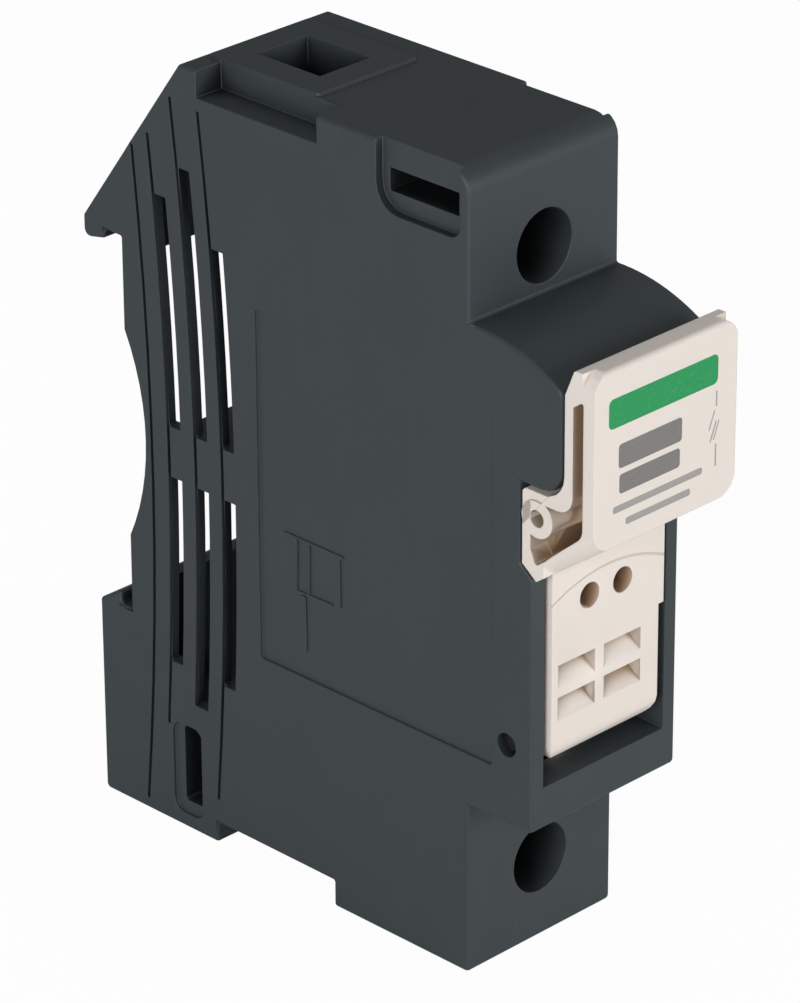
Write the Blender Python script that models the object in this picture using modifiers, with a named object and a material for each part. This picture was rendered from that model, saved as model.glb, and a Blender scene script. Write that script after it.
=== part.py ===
# Fuse holder for a 35 mm rail: one module wide, with a pivoting drawer for one cylindrical fuse link.
# Metres, +Z up. The rail's front face is the plane Y = 0, Z = 0 is the middle of the rail,
# and the front of the holder looks along -Y. Depths are counted forwards from the rail.
import math

import bmesh
import bpy
from mathutils import Matrix, Vector

MM = 0.001

# Module width, walls and the clearance that seated pieces keep
MODULE_WIDTH = 17.5 * MM
SIDE_WALL = 1.5 * MM
LATCH_WALL = 1.2 * MM
GAP = 0.3 * MM
CLEAR = 0.1 * MM
OFF_FACE = 0.03 * MM
EDGE_ROUND = 0.35 * MM
SMALL_ROUND = 0.3 * MM
SOFT_ROUND = 0.5 * MM

# Rail seat: hook above, sprung jaw below
RAIL_SLOT = 35.4 * MM
FLANGE_SLOT = 1.3 * MM
HOOK_SLOT = 2.1 * MM
HOOK_REACH = 4.7 * MM
HOOK_LIP = 1.4 * MM
SEAT_RELIEF_TOP = 9.1 * MM
SEAT_RELIEF_BOTTOM = -10.4 * MM
SEAT_RELIEF_RADIUS = 21.8 * MM
JAW_REACH = 4.05 * MM
JAW_BOTTOM = -37.0 * MM

# Fuse link and its place, which the drawer, the clips and the housing follow
LINK_SIDE_ROOM = 2.1 * MM
FUSE_RADIUS = MODULE_WIDTH / 2 - SIDE_WALL - LINK_SIDE_ROOM
FUSE_LENGTH = 38.0 * MM
FUSE_DEPTH = 39.2 * MM
FUSE_TOP = 17.9 * MM
FUSE_BOTTOM = FUSE_TOP - FUSE_LENGTH
CAP_LENGTH = 10.5 * MM
CAP_WALL = 0.35 * MM
CAP_PLAY = 0.2 * MM

# Side outline of the housing: depths go with the link's axis, heights with its two ends
TOP = FUSE_TOP + 17.5 * MM
ROOF_BACK = 7.7 * MM
BLOCK_FRONT = FUSE_DEPTH + 1.95 * MM
TOP_FILLET = 2.0 * MM
DOME_TOP = FUSE_TOP + 4.55 * MM
DOME_RADIUS = 18.0 * MM
LIP_FRONT = FUSE_DEPTH + 12.2 * MM
LIP_TOP = FUSE_TOP + 1.7 * MM
LIP_ROUND = 1.0 * MM
NOTCH_TOP = FUSE_TOP - 7.5 * MM
NOTCH_BACK = FUSE_DEPTH + 7.64 * MM
NOTCH_FOOT = NOTCH_TOP - 7.3 * MM
BODY_FRONT = FUSE_DEPTH + 9.1 * MM
BODY_SHOULDER = NOTCH_FOOT - 1.1 * MM
BODY_UNDERSIDE = FUSE_BOTTOM - 1.3 * MM
SILL_THICKNESS = 3.9 * MM
ENTRY_BOTTOM = FUSE_BOTTOM - 14.9 * MM
BLOCK_BOTTOM = ENTRY_BOTTOM - 2.5 * MM
BLOCK_BACK = 25.0 * MM
FOOT_FRONT = 10.5 * MM

# Rail latch: hollow, with slits that let the foot flex
LATCH_FRONT = 14.3 * MM
CROSS_RIB_TOP = 1.8 * MM
CROSS_RIB_BOTTOM = -3.0 * MM
HOLLOW_FLOOR = -0.8 * MM
SLIT_WIDTH = 1.7 * MM
SLIT_BOW = 300.0 * MM
SLIT_APEX = -4.0 * MM
GROOVE_WIDTH = 0.35 * MM
GROOVE_DEPTH = 0.35 * MM
# Depth at the apex, then top and bottom of the groove, upper slit's top and lower slit's bottom
LATCH_LINES = (
    (3.1 * MM, 26.6 * MM, -35.9 * MM, None, None),
    (5.25 * MM, 28.2 * MM, -27.3 * MM, 22.9 * MM, -20.9 * MM),
    (8.57 * MM, 32.2 * MM, -24.3 * MM, 26.1 * MM, -24.3 * MM),
    (11.87 * MM, 31.8 * MM, -32.6 * MM, 19.9 * MM, -21.0 * MM),
)
RELEASE_BACK = 6.2 * MM
RELEASE_FRONT = 8.25 * MM
RELEASE_TOP = -27.0 * MM
RELEASE_BOTTOM = -34.4 * MM
RELEASE_DEPTH = 5.0 * MM
RELEASE_RIM = 1.2 * MM
RELEASE_RIM_DEPTH = 0.3 * MM

# Marking frame and grip pockets on the sides
FRAME_BACK = 16.4 * MM
FRAME_FRONT = BODY_FRONT - 4.5 * MM
FRAME_TOP = FUSE_TOP - 1.9 * MM
FRAME_BOTTOM = FUSE_BOTTOM + 3.6 * MM
FRAME_DEPTH = 0.25 * MM
GRIP_FRONT = BLOCK_FRONT - 0.95 * MM
GRIP_BACK = GRIP_FRONT - 9.4 * MM
GRIP_BOTTOM = TOP - 6.1 * MM
GRIP_DEPTH = 0.8 * MM
GRIP_SLOT_HEIGHT = 2.0 * MM
GRIP_SLOT_DEPTH = 4.2 * MM

# Drawer, its pivot and its lever head
PIVOT_DEPTH = FUSE_DEPTH + 6.27 * MM
PIVOT_HEIGHT = FUSE_BOTTOM + 6.1 * MM
PIN_RADIUS = 0.95 * MM
PIN_PLAY = 0.1 * MM
PIN_RECESS = 0.6 * MM
PIN_LENGTH = 4.3 * MM
LUG_RADIUS = 2.1 * MM
DRAWER_PROUD = 0.3 * MM
DRAWER_PLAY = 0.55 * MM
DRAWER_SILL_GAP = 1.7 * MM
DRAWER_ROUND = 2.0 * MM
STEP_HEIGHT = PIVOT_HEIGHT + 8.7 * MM
STEP_INSET = 0.6 * MM
CHEEK_WRAP = 3.2 * MM
CHEEK_TOP = NOTCH_TOP - 5.4 * MM
CHEEK_BOTTOM = PIVOT_HEIGHT + 6.0 * MM
CHEEK_SLOPE = 3.5 * MM
LEDGE = 0.8 * MM
CARRIER_NOSE = 0.5 * MM
HEAD_INSET = 0.75 * MM
PANEL_FRONT = LIP_FRONT + 3.5 * MM
PANEL_TOP = LIP_TOP + 2.4 * MM
PANEL_FOOT = NOTCH_FOOT + 3.4 * MM
PANEL_THICKNESS = 1.2 * MM
PANEL_CORNER_TOP = 1.8 * MM
PANEL_CORNER_BOTTOM = 2.0 * MM
HEAD_WALL = 0.9 * MM
HEAD_WEB = 1.6 * MM
POCKET_CHANNEL = 2.0 * MM
POCKET_RECESS = 3.4 * MM
RIB_SLOPE = 0.65
BOSS_RADIUS = 1.7 * MM
BOSS_BORE = 0.75 * MM
BOSS_DEPTH = NOTCH_BACK + 1.9 * MM
BOSS_HEIGHT = NOTCH_TOP - 2.65 * MM
TEST_HOLE_RADIUS = 1.15 * MM
TEST_HOLE_DEPTH = 2.4 * MM
TEST_HOLE_HEIGHT = BODY_SHOULDER - 3.45 * MM
TEST_HOLE_SPACING = 3.95 * MM
TEST_HOLE_CENTRE = -0.3 * MM
VENT_HEIGHT = 2.1 * MM
VENT_WIDTH = 4.4 * MM
VENT_PITCH = 2.95 * MM
VENT_TOP = PIVOT_HEIGHT + 7.4 * MM
VENT_CENTRE = -1.0 * MM
VENT_WEB = 1.1 * MM
VENT_DEPTH = 1.5 * MM

# Terminals: wire from above or below, screw from the front
ENTRY_BACK = 11.1 * MM
ENTRY_SIZE_Y = 7.4 * MM
ENTRY_SIZE_X = 5.8 * MM
ENTRY_RIM = 2.7 * MM
ENTRY_RIM_HEIGHT = 0.3 * MM
CORNER_NOTCH_WIDTH = 2.95 * MM
CORNER_NOTCH_BACK = 9.8 * MM
CORNER_NOTCH_FRONT = 24.0 * MM
CORNER_NOTCH_FLOOR = TOP - 2.4 * MM
UPPER_SCREW_HEIGHT = FUSE_TOP + 8.6 * MM
LOWER_SCREW_HEIGHT = FUSE_BOTTOM - 9.7 * MM
ACCESS_RADIUS = 3.2 * MM
CAGE_HEIGHT = 7.6 * MM
CAGE_WALL = 1.1 * MM
CAGE_THREAD_WALL = 1.6 * MM
CAGE_FREE_DEPTH = 2.0 * MM
CAGE_ROUND = 0.8 * MM
CAGE_TRAVEL = 4.0 * MM
SCREW_RADIUS = 2.3 * MM
SCREW_PLAY = 0.1 * MM
SCREW_HEAD_RADIUS = 3.5 * MM
SCREW_HEAD_HEIGHT = 2.6 * MM
SCREW_SLOT = 0.9 * MM
SCREW_SLOT_DEPTH = 1.3 * MM
SCREW_CROSS = 3.8 * MM
BAR_THICKNESS = 1.2 * MM
BAR_WIDTH = 6.6 * MM
BAR_BEND = 1.0 * MM

# Fuse clips, their springs and rivets
CLIP_THICKNESS = 0.5 * MM
CLIP_PLAY = 0.25 * MM
CLIP_HEIGHT = 7.0 * MM
CLIP_TIP = 1.8 * MM
CLIP_FLARE = 0.3 * MM
CLIP_WEB_DEPTH = FUSE_DEPTH - FUSE_RADIUS - 2.45 * MM
SPRING_THICKNESS = 0.35 * MM
SPRING_HEIGHT = 2.4 * MM
SPRING_GAP = 0.15 * MM
RIVET_RADIUS = 1.0 * MM
RIVET_HEAD = 1.7 * MM
RIVET_HEAD_HEIGHT = 0.7 * MM

# Cover let into the far side
COVER_RIM = 1.0 * MM
COVER_ROUND = 1.0 * MM
DIVIDER = 1.3 * MM

FILLET_STEPS = 5
ARC_STEPS = 12
ROUND_STEPS = 32

# What follows from the sizes above
HALF_WIDTH = MODULE_WIDTH / 2
INNER_HALF = HALF_WIDTH - SIDE_WALL
SLOT_TOP = RAIL_SLOT / 2
SLOT_BOTTOM = -RAIL_SLOT / 2
PAST = 2.0 * MM
HEAD_FAR = HALF_WIDTH - HEAD_INSET
DRAWER_HALF = INNER_HALF - DRAWER_PLAY
DRAWER_FRONT = BODY_FRONT + DRAWER_PROUD
SILL = BODY_UNDERSIDE + SILL_THICKNESS
DRAWER_BOTTOM = SILL + DRAWER_SILL_GAP
FUSE_MIDDLE = FUSE_TOP - FUSE_LENGTH / 2
FUSE_BACK = FUSE_DEPTH - FUSE_RADIUS
CAP_MIDDLE = FUSE_LENGTH / 2 - CAP_LENGTH / 2
SWEEP_RADIUS = math.hypot(PIVOT_DEPTH - FUSE_BACK, FUSE_TOP - PIVOT_HEIGHT) + GAP
CHAMBER_BACK = CLIP_WEB_DEPTH - CLIP_THICKNESS - GAP / 2
CHAMBER_FLOOR = FUSE_BOTTOM - GAP
CHAMBER_ROOF = FUSE_TOP + GAP + CLEAR
SILL_BACK = FUSE_DEPTH + FUSE_RADIUS + 2 * GAP
ENTRY_FRONT = ENTRY_BACK + ENTRY_SIZE_Y
BAR_BACK = ENTRY_FRONT + 2 * GAP
BAR_FRONT = BAR_BACK + BAR_THICKNESS
CAGE_INNER_HALF = BAR_WIDTH / 2 + GAP
CAGE_HALF = CAGE_INNER_HALF + CAGE_WALL
CAGE_BACK = ENTRY_BACK - CAGE_WALL
CAGE_FRONT = BAR_FRONT + CAGE_FREE_DEPTH + CAGE_THREAD_WALL
SCREW_TIP = BAR_FRONT + GAP
HEAD_BACK = CAGE_FRONT + CAGE_TRAVEL + GAP
HEAD_FRONT = HEAD_BACK + SCREW_HEAD_HEIGHT
TERMINAL_BACK = CAGE_BACK - GAP
TERMINAL_FRONT = HEAD_FRONT + GAP
TERMINAL_HALF_HEIGHT = CAGE_HEIGHT / 2 + GAP
COVER_FRONT = PIVOT_DEPTH - LUG_RADIUS - COVER_RIM
COVER_BACK = LATCH_FRONT + COVER_RIM + GAP


def start_scene():
    """Empties the scene and returns the collections of the parts and of the cutters."""
    for old in list(bpy.data.objects):
        bpy.data.objects.remove(old, do_unlink=True)
    made = []
    for name in ("din_rail_fuse_holder", "cutters"):
        collection = bpy.data.collections.new(name)
        bpy.context.scene.collection.children.link(collection)
        made.append(collection)
    made[1].hide_render = True
    return made


PARTS, CUTTERS = start_scene()


def material(name, colour, roughness, metallic=0.0):
    made = bpy.data.materials.new(name)
    made.use_nodes = True
    shader = made.node_tree.nodes["Principled BSDF"]
    shader.inputs["Base Color"].default_value = (*colour, 1.0)
    shader.inputs["Roughness"].default_value = roughness
    shader.inputs["Metallic"].default_value = metallic
    return made


# Outlines: lists of points in a plane


def rounded(corners, steps=FILLET_STEPS):
    """A closed outline from corners (a, b, radius), with each corner turned by an arc of its radius."""
    points = []
    for index, (a, b, radius) in enumerate(corners):
        here = Vector((a, b))
        if radius <= 0:
            points.append((a, b))
            continue
        before = Vector(corners[index - 1][:2]) - here
        after = Vector(corners[(index + 1) % len(corners)][:2]) - here
        half = before.angle(after) / 2
        reach = radius / math.tan(half)
        middle = here + (before.normalized() + after.normalized()).normalized() * radius / math.sin(half)
        start = here + before.normalized() * reach - middle
        turn = start.angle_signed(here + after.normalized() * reach - middle)
        for step in range(steps + 1):
            spoke = Matrix.Rotation(-turn * step / steps, 2) @ start
            points.append(tuple(middle + spoke))
    return points


def arc_between(start, end, radius, steps=ARC_STEPS):
    """Corners along an arc from start to end; a positive radius bulges to the left of the way."""
    chord = Vector(end) - Vector(start)
    left = Vector((-chord.y, chord.x)).normalized()
    drop = math.sqrt(radius**2 - (chord.length / 2) ** 2)
    middle = Vector(start) + chord / 2 - left * math.copysign(drop, radius)
    spoke = Vector(start) - middle
    turn = spoke.angle_signed(Vector(end) - middle)
    points = []
    for step in range(steps + 1):
        point = middle + Matrix.Rotation(-turn * step / steps, 2) @ spoke
        points.append((point.x, point.y, 0))
    return points


def rectangle(low_a, high_a, low_b, high_b, radius=0.0):
    corners = ((low_a, low_b), (high_a, low_b), (high_a, high_b), (low_a, high_b))
    return rounded([(a, b, radius) for a, b in corners])


def ribbon(route, thickness):
    """The closed outline of a sheet of this thickness bent along a route of points."""
    left, right = [], []
    for index, here in enumerate(route):
        here = Vector(here)
        before = here - Vector(route[index - 1]) if index else Vector(route[1]) - here
        after = Vector(route[index + 1]) - here if index < len(route) - 1 else before
        before.normalize()
        after.normalize()
        normal = Vector((-before.y - after.y, before.x + after.x)).normalized()
        reach = thickness / 2 / normal.dot(Vector((-before.y, before.x)))
        left.append(tuple(here + normal * reach))
        right.append(tuple(here - normal * reach))
    return left + right[::-1]


def bent(corners, steps=FILLET_STEPS):
    """A route like rounded, but open: its two ends stay where they are."""
    ends = (tuple(corners[0][:2]), tuple(corners[-1][:2]))
    between = [point for point in rounded(corners, steps) if point not in ends]
    return [ends[0], *between, ends[1]]


# Solids made from outlines, and the tools that join and cut them

SIDE_PLANE = Matrix(((0, 0, 1, 0), (1, 0, 0, 0), (0, 1, 0, 0), (0, 0, 0, 1)))
FRONT_PLANE = Matrix(((1, 0, 0, 0), (0, 0, -1, 0), (0, 1, 0, 0), (0, 0, 0, 1)))
TOP_PLANE = Matrix.Identity(4)


def collect(obj, is_cutter):
    (CUTTERS if is_cutter else PARTS).objects.link(obj)
    if is_cutter:
        obj.hide_render = True
        obj.display_type = "WIRE"
    return obj


def slab(name, outlines, plane, low, high, is_cutter=False):
    """Outlines extruded from low to high along the normal of their plane; later outlines are holes."""
    curve = bpy.data.curves.new(name, "CURVE")
    curve.dimensions = "2D"
    curve.fill_mode = "BOTH"
    curve.extrude = (high - low) / 2
    for outline in outlines:
        spline = curve.splines.new("POLY")
        spline.points.add(len(outline) - 1)
        for point, (a, b) in zip(spline.points, outline):
            point.co = (a, b, 0, 1)
        spline.use_cyclic_u = True
    holder = bpy.data.objects.new(name + "_outline", curve)
    bpy.context.scene.collection.objects.link(holder)
    mesh = bpy.data.meshes.new_from_object(holder.evaluated_get(bpy.context.evaluated_depsgraph_get()))
    bpy.data.objects.remove(holder)
    work = bmesh.new()
    work.from_mesh(mesh)
    bmesh.ops.remove_doubles(work, verts=work.verts, dist=0.000001)
    bmesh.ops.dissolve_limit(work, angle_limit=0.001, verts=work.verts, edges=work.edges)
    bmesh.ops.translate(work, verts=work.verts, vec=(0, 0, (high + low) / 2))
    bmesh.ops.transform(work, matrix=plane, verts=work.verts)
    bmesh.ops.recalc_face_normals(work, faces=work.faces)
    work.to_mesh(mesh)
    work.free()
    return collect(bpy.data.objects.new(name, mesh), is_cutter)


def side_slab(name, outline, low_x, high_x, is_cutter=False):
    """A slab whose outline is given as (y, z)."""
    return slab(name, [outline], SIDE_PLANE, low_x, high_x, is_cutter)


def front_slab(name, outlines, near_depth, far_depth, is_cutter=False):
    """Outlines given as (x, z), between two depths in front of the rail."""
    return slab(name, outlines, FRONT_PLANE, near_depth, far_depth, is_cutter)


def box(name, low, high, is_cutter=False):
    work = bmesh.new()
    bmesh.ops.create_cube(work, size=1.0)
    size = Vector(high) - Vector(low)
    bmesh.ops.scale(work, verts=work.verts, vec=size)
    bmesh.ops.translate(work, verts=work.verts, vec=Vector(low) + size / 2)
    mesh = bpy.data.meshes.new(name)
    work.to_mesh(mesh)
    work.free()
    return collect(bpy.data.objects.new(name, mesh), is_cutter)


def rod(name, axis, centre, radius, low, high, is_cutter=False, steps=ROUND_STEPS):
    """A cylinder along an axis, from low to high on it; centre gives the two other coordinates."""
    work = bmesh.new()
    bmesh.ops.create_cone(
        work, cap_ends=True, segments=steps, radius1=radius, radius2=radius, depth=high - low
    )
    turn = {"X": Matrix.Rotation(math.pi / 2, 4, "Y"), "Y": Matrix.Rotation(-math.pi / 2, 4, "X")}
    bmesh.ops.transform(work, matrix=turn.get(axis, Matrix.Identity(4)), verts=work.verts)
    place = list(centre)
    place.insert("XYZ".index(axis), (low + high) / 2)
    bmesh.ops.translate(work, verts=work.verts, vec=place)
    mesh = bpy.data.meshes.new(name)
    work.to_mesh(mesh)
    work.free()
    return collect(bpy.data.objects.new(name, mesh), is_cutter)


def turned(name, profile, axis, place, steps=ROUND_STEPS):
    """A profile of (radius, height) from the axis at the top, down its outer side, turned about Z."""
    mesh = bpy.data.meshes.new(name)
    work = bmesh.new()
    points = [work.verts.new((radius, 0, height)) for radius, height in profile]
    for first, second in zip(points, points[1:]):
        work.edges.new((first, second))
    work.to_mesh(mesh)
    work.free()
    obj = collect(bpy.data.objects.new(name, mesh), False)
    screw = obj.modifiers.new("Turn", "SCREW")
    screw.steps = steps
    screw.render_steps = steps
    screw.use_merge_vertices = True
    screw.merge_threshold = 0.00001
    obj.location = place
    if axis == "Y":
        obj.rotation_euler = (math.pi / 2, 0, 0)
    if axis == "X":
        obj.rotation_euler = (0, math.pi / 2, 0)
    return obj


def boolean(target, tool, operation):
    modifier = target.modifiers.new(operation.title(), "BOOLEAN")
    modifier.operation = operation
    modifier.solver = "EXACT"
    modifier.object = tool
    return target


def cut(target, *tools):
    for tool in tools:
        boolean(target, tool, "DIFFERENCE")
    return target


def join(target, *tools):
    for tool in tools:
        boolean(target, tool, "UNION")
    return target


def round_edges(obj, width, segments=2):
    bevel = obj.modifiers.new("Edges", "BEVEL")
    bevel.width = width
    bevel.segments = segments
    bevel.limit_method = "ANGLE"
    bevel.angle_limit = math.radians(40)
    return obj


# Housing


def dome_edge():
    """Depth and height where the dome meets the lip over the lever head."""
    return LIP_FRONT - LIP_ROUND, LIP_TOP + 0.6 * LIP_ROUND


def housing_outline():
    """The side outline as (y, z), from the top front corner backwards and round under the foot."""
    relief = arc_between((0, SEAT_RELIEF_TOP), (0, SEAT_RELIEF_BOTTOM), SEAT_RELIEF_RADIUS * -1)
    edge_depth, edge_height = dome_edge()
    dome = arc_between((-edge_depth, edge_height), (-BLOCK_FRONT, DOME_TOP), DOME_RADIUS)
    corners = [
        (-BLOCK_FRONT, TOP, TOP_FILLET),
        (-ROOF_BACK, TOP, SOFT_ROUND),
        (HOOK_REACH, SLOT_TOP + 0.7 * MM, 0.4 * MM),
        (HOOK_REACH, SLOT_TOP - HOOK_LIP, 0.7 * MM),
        (HOOK_SLOT, SLOT_TOP - 0.6 * HOOK_LIP, 0),
        (HOOK_SLOT, SLOT_TOP, 0),
        (0, SLOT_TOP, 0),
        *relief,
        (0, SLOT_BOTTOM, 0),
        (FLANGE_SLOT, SLOT_BOTTOM, 0),
        (FLANGE_SLOT, SLOT_BOTTOM + HOOK_LIP, SMALL_ROUND),
        (JAW_REACH, SLOT_BOTTOM - 0.3 * MM, SMALL_ROUND),
        (JAW_REACH, JAW_BOTTOM, SOFT_ROUND),
        (-FOOT_FRONT, JAW_BOTTOM, SMALL_ROUND),
        (-FOOT_FRONT, ENTRY_BOTTOM, 0),
        (-BLOCK_BACK, ENTRY_BOTTOM, 0),
        (-BLOCK_BACK, BLOCK_BOTTOM, SMALL_ROUND),
        (-BLOCK_FRONT, BLOCK_BOTTOM, SOFT_ROUND),
        (-BLOCK_FRONT, BODY_UNDERSIDE, 0),
        (-BODY_FRONT, BODY_UNDERSIDE, SOFT_ROUND),
        (-BODY_FRONT, BODY_SHOULDER, 0),
        (-NOTCH_BACK, NOTCH_FOOT, 0),
        (-NOTCH_BACK, NOTCH_TOP, 0),
        (-LIP_FRONT, NOTCH_TOP, 2.3 * MM),
        (-LIP_FRONT, LIP_TOP, LIP_ROUND),
        *dome,
    ]
    return rounded(corners)


def bow(depth, height):
    """Y of a latch line at this height: an arc of large radius, deepest at its apex."""
    rise = height - SLIT_APEX
    return -depth + SLIT_BOW - math.sqrt(SLIT_BOW**2 - rise**2)


def bowed_strip(depth, low, high, width, steps):
    """A strip that starts on a latch line and reaches forwards by its width."""
    heights = [low + (high - low) * step / steps for step in range(steps + 1)]
    back = [(bow(depth, height), height) for height in heights]
    front = [(y - width, height) for y, height in back]
    return back + front[::-1]


def latch_cutters():
    """Hollow of the rail foot on both sides of its cross rib, with the slits and the flex lines."""
    hollow_half = HALF_WIDTH - LATCH_WALL
    slit_tops = [line[3] for line in LATCH_LINES if line[3]]
    slit_bottoms = [line[4] for line in LATCH_LINES if line[4]]
    high = max(slit_tops) + 0.6 * MM
    low = min(slit_bottoms) - 0.5 * MM
    second = -LATCH_LINES[2][0] - 0.35 * MM
    upper = [
        (PAST, HOLLOW_FLOOR),
        (-LATCH_FRONT, HOLLOW_FLOOR),
        (-LATCH_FRONT, LATCH_LINES[3][3] + 1.0 * MM),
        (second, LATCH_LINES[3][3] + 1.0 * MM),
        (second, high),
        (-3.0 * MM, high),
        (-LATCH_WALL, SLOT_TOP + 1.8 * MM),
        (-LATCH_WALL, SLOT_TOP - 1.8 * MM),
        (PAST, SLOT_TOP - 1.8 * MM),
    ]
    lower = [
        (PAST, CROSS_RIB_BOTTOM),
        (-LATCH_FRONT, CROSS_RIB_BOTTOM),
        (-LATCH_FRONT, LATCH_LINES[3][4] - 0.6 * MM),
        (second - SLIT_WIDTH, low),
        (-4.0 * MM, low),
        (-LATCH_WALL, SLOT_BOTTOM - 3.0 * MM),
        (-LATCH_WALL, SLOT_BOTTOM + 2.2 * MM),
        (PAST, SLOT_BOTTOM + 2.2 * MM),
    ]
    tools = [
        side_slab("upper_latch_hollow", upper, -hollow_half, hollow_half, True),
        side_slab("lower_latch_hollow", lower, -hollow_half, hollow_half, True),
    ]
    for index, (depth, top, bottom, slit_top, slit_bottom) in enumerate(LATCH_LINES):
        line = bowed_strip(depth, bottom, top, GROOVE_WIDTH, 10)
        for side in (-1, 1):
            edge = side * HALF_WIDTH
            reach = sorted((edge - side * GROOVE_DEPTH, edge + side * PAST))
            tools.append(side_slab(f"groove_{index}_{side}", line, *reach, True))
        if slit_top:
            ends = {"upper": (CROSS_RIB_TOP, slit_top), "lower": (slit_bottom, CROSS_RIB_BOTTOM)}
            for label, (low_end, high_end) in ends.items():
                slit = bowed_strip(depth, low_end, high_end, SLIT_WIDTH, 5)
                name = f"{label}_slit_{index}"
                tools.append(side_slab(name, slit, -HALF_WIDTH - PAST, HALF_WIDTH + PAST, True))
    release = rectangle(-RELEASE_FRONT, -RELEASE_BACK, RELEASE_BOTTOM, RELEASE_TOP, SMALL_ROUND)
    rim = rectangle(
        -RELEASE_FRONT - SOFT_ROUND,
        -RELEASE_BACK + RELEASE_RIM,
        RELEASE_BOTTOM - RELEASE_RIM,
        RELEASE_TOP + SMALL_ROUND,
        RELEASE_RIM,
    )
    for side in (-1, 1):
        edge = side * HALF_WIDTH
        for label, outline, depth in (("rim", rim, RELEASE_RIM_DEPTH), ("slot", release, RELEASE_DEPTH)):
            reach = sorted((edge - side * depth, edge + side * PAST))
            tools.append(side_slab(f"release_{label}_{side}", outline, *reach, True))
    return tools


def chamber_outline():
    """Fuse chamber as (y, z): open at the front, its roof struck about the pivot so the link swings out."""
    roof = []
    first = math.asin((PIVOT_DEPTH - FUSE_BACK - GAP) / SWEEP_RADIUS)
    last = -math.asin((LIP_FRONT - PIVOT_DEPTH) / SWEEP_RADIUS)
    for step in range(ARC_STEPS + 1):
        turn = first + (last - first) * step / ARC_STEPS
        y = -PIVOT_DEPTH + SWEEP_RADIUS * math.sin(turn)
        roof.append((y, PIVOT_HEIGHT + SWEEP_RADIUS * math.cos(turn)))
    front = -LIP_FRONT - 2 * PAST
    return [
        (front, roof[-1][1]),
        (front, SILL),
        (-SILL_BACK, SILL),
        (-SILL_BACK, CHAMBER_FLOOR),
        (-CHAMBER_BACK, CHAMBER_FLOOR),
        (-CHAMBER_BACK, roof[0][1]),
        *roof,
    ]


def bar_level(side):
    """Height of the level run of a terminal bar, beyond the clip on its side of the fuse."""
    return FUSE_MIDDLE + side * (CAP_MIDDLE + CLIP_HEIGHT / 2 + BAR_THICKNESS)


def screw_height(side):
    return UPPER_SCREW_HEIGHT if side > 0 else LOWER_SCREW_HEIGHT


def inner_cutters():
    """The rooms inside the housing, which open towards the cover."""
    low, high = -INNER_HALF, INNER_HALF
    tools = [side_slab("fuse_chamber", chamber_outline(), low, high, True)]
    for side, label in ((1, "upper"), (-1, "lower")):
        level = bar_level(side)
        inner = FUSE_MIDDLE + side * (CAP_MIDDLE - CLIP_HEIGHT / 2 - GAP)
        outer = level + side * (BAR_THICKNESS / 2 + GAP)
        link = rectangle(-CHAMBER_BACK - PAST, -BAR_BACK + GAP, *sorted((inner, outer)))
        tools.append(side_slab(f"{label}_link_room", link, low, high, True))
        middle = screw_height(side)
        floor, roof = middle - TERMINAL_HALF_HEIGHT, middle + TERMINAL_HALF_HEIGHT
        room = rectangle(-TERMINAL_FRONT, -TERMINAL_BACK, floor, roof)
        tools.append(side_slab(f"{label}_terminal_room", room, low, high, True))
        slot_half = BAR_WIDTH / 2 + GAP
        heights = sorted((outer - side * GAP, middle - side * TERMINAL_HALF_HEIGHT + side * GAP))
        slot = rectangle(-BAR_FRONT - GAP, -BAR_BACK + GAP, *heights)
        tools.append(side_slab(f"{label}_bar_slot", slot, -slot_half, high, True))
        mouth, inner_end = -BLOCK_FRONT - PAST, -TERMINAL_FRONT + GAP
        tools.append(rod(f"{label}_access", "Y", (0, middle), ACCESS_RADIUS, mouth, inner_end, True))
        outside = TOP + PAST if side > 0 else ENTRY_BOTTOM - PAST
        inside = middle + side * (TERMINAL_HALF_HEIGHT - GAP)
        half = ENTRY_SIZE_X / 2
        bottom, top = sorted((inside, outside))
        entry = box(f"{label}_entry", (-half, -ENTRY_FRONT, bottom), (half, -ENTRY_BACK, top), True)
        tools.append(entry)
    rib = SIDE_WALL
    upper_floor = FUSE_MIDDLE + CAP_MIDDLE - CLIP_HEIGHT / 2 - GAP - rib
    lower_roof = FUSE_MIDDLE - CAP_MIDDLE + CLIP_HEIGHT / 2 + GAP + rib
    store = rectangle(-CHAMBER_BACK + rib, -LATCH_FRONT - 2 * rib, lower_roof, upper_floor)
    tools.append(side_slab("core_room", store, low, high, True))
    return tools


def cover_outline(play):
    """The cover as (y, z): wide over both terminals, narrow beside the rail foot. Play shrinks it."""
    top = UPPER_SCREW_HEIGHT + TERMINAL_HALF_HEIGHT + COVER_RIM - play
    bottom = LOWER_SCREW_HEIGHT - TERMINAL_HALF_HEIGHT + play
    block = -BLOCK_FRONT + 2 * COVER_RIM + play
    sole = BODY_UNDERSIDE + COVER_RIM + play
    shoulder = UPPER_SCREW_HEIGHT - TERMINAL_HALF_HEIGHT - 0.7 * MM + play
    hip = LOWER_SCREW_HEIGHT + TERMINAL_HALF_HEIGHT + 0.5 * MM - play
    wide = -TERMINAL_BACK + 0.7 * MM - play
    narrow = -COVER_BACK - play
    front = -COVER_FRONT + play
    corners = [
        (front, sole, SMALL_ROUND),
        (block, sole, SMALL_ROUND),
        (block, bottom, SMALL_ROUND),
        (wide, bottom, SMALL_ROUND),
        (wide, hip, SMALL_ROUND),
        (narrow, hip, SMALL_ROUND),
        (narrow, shoulder, SMALL_ROUND),
        (wide, shoulder, SMALL_ROUND),
        (wide, top, COVER_ROUND),
        (block, top, COVER_ROUND),
        (block, CHAMBER_ROOF + DIVIDER, SMALL_ROUND),
        (front, CHAMBER_ROOF - play, COVER_ROUND),
    ]
    return rounded(corners)


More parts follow.
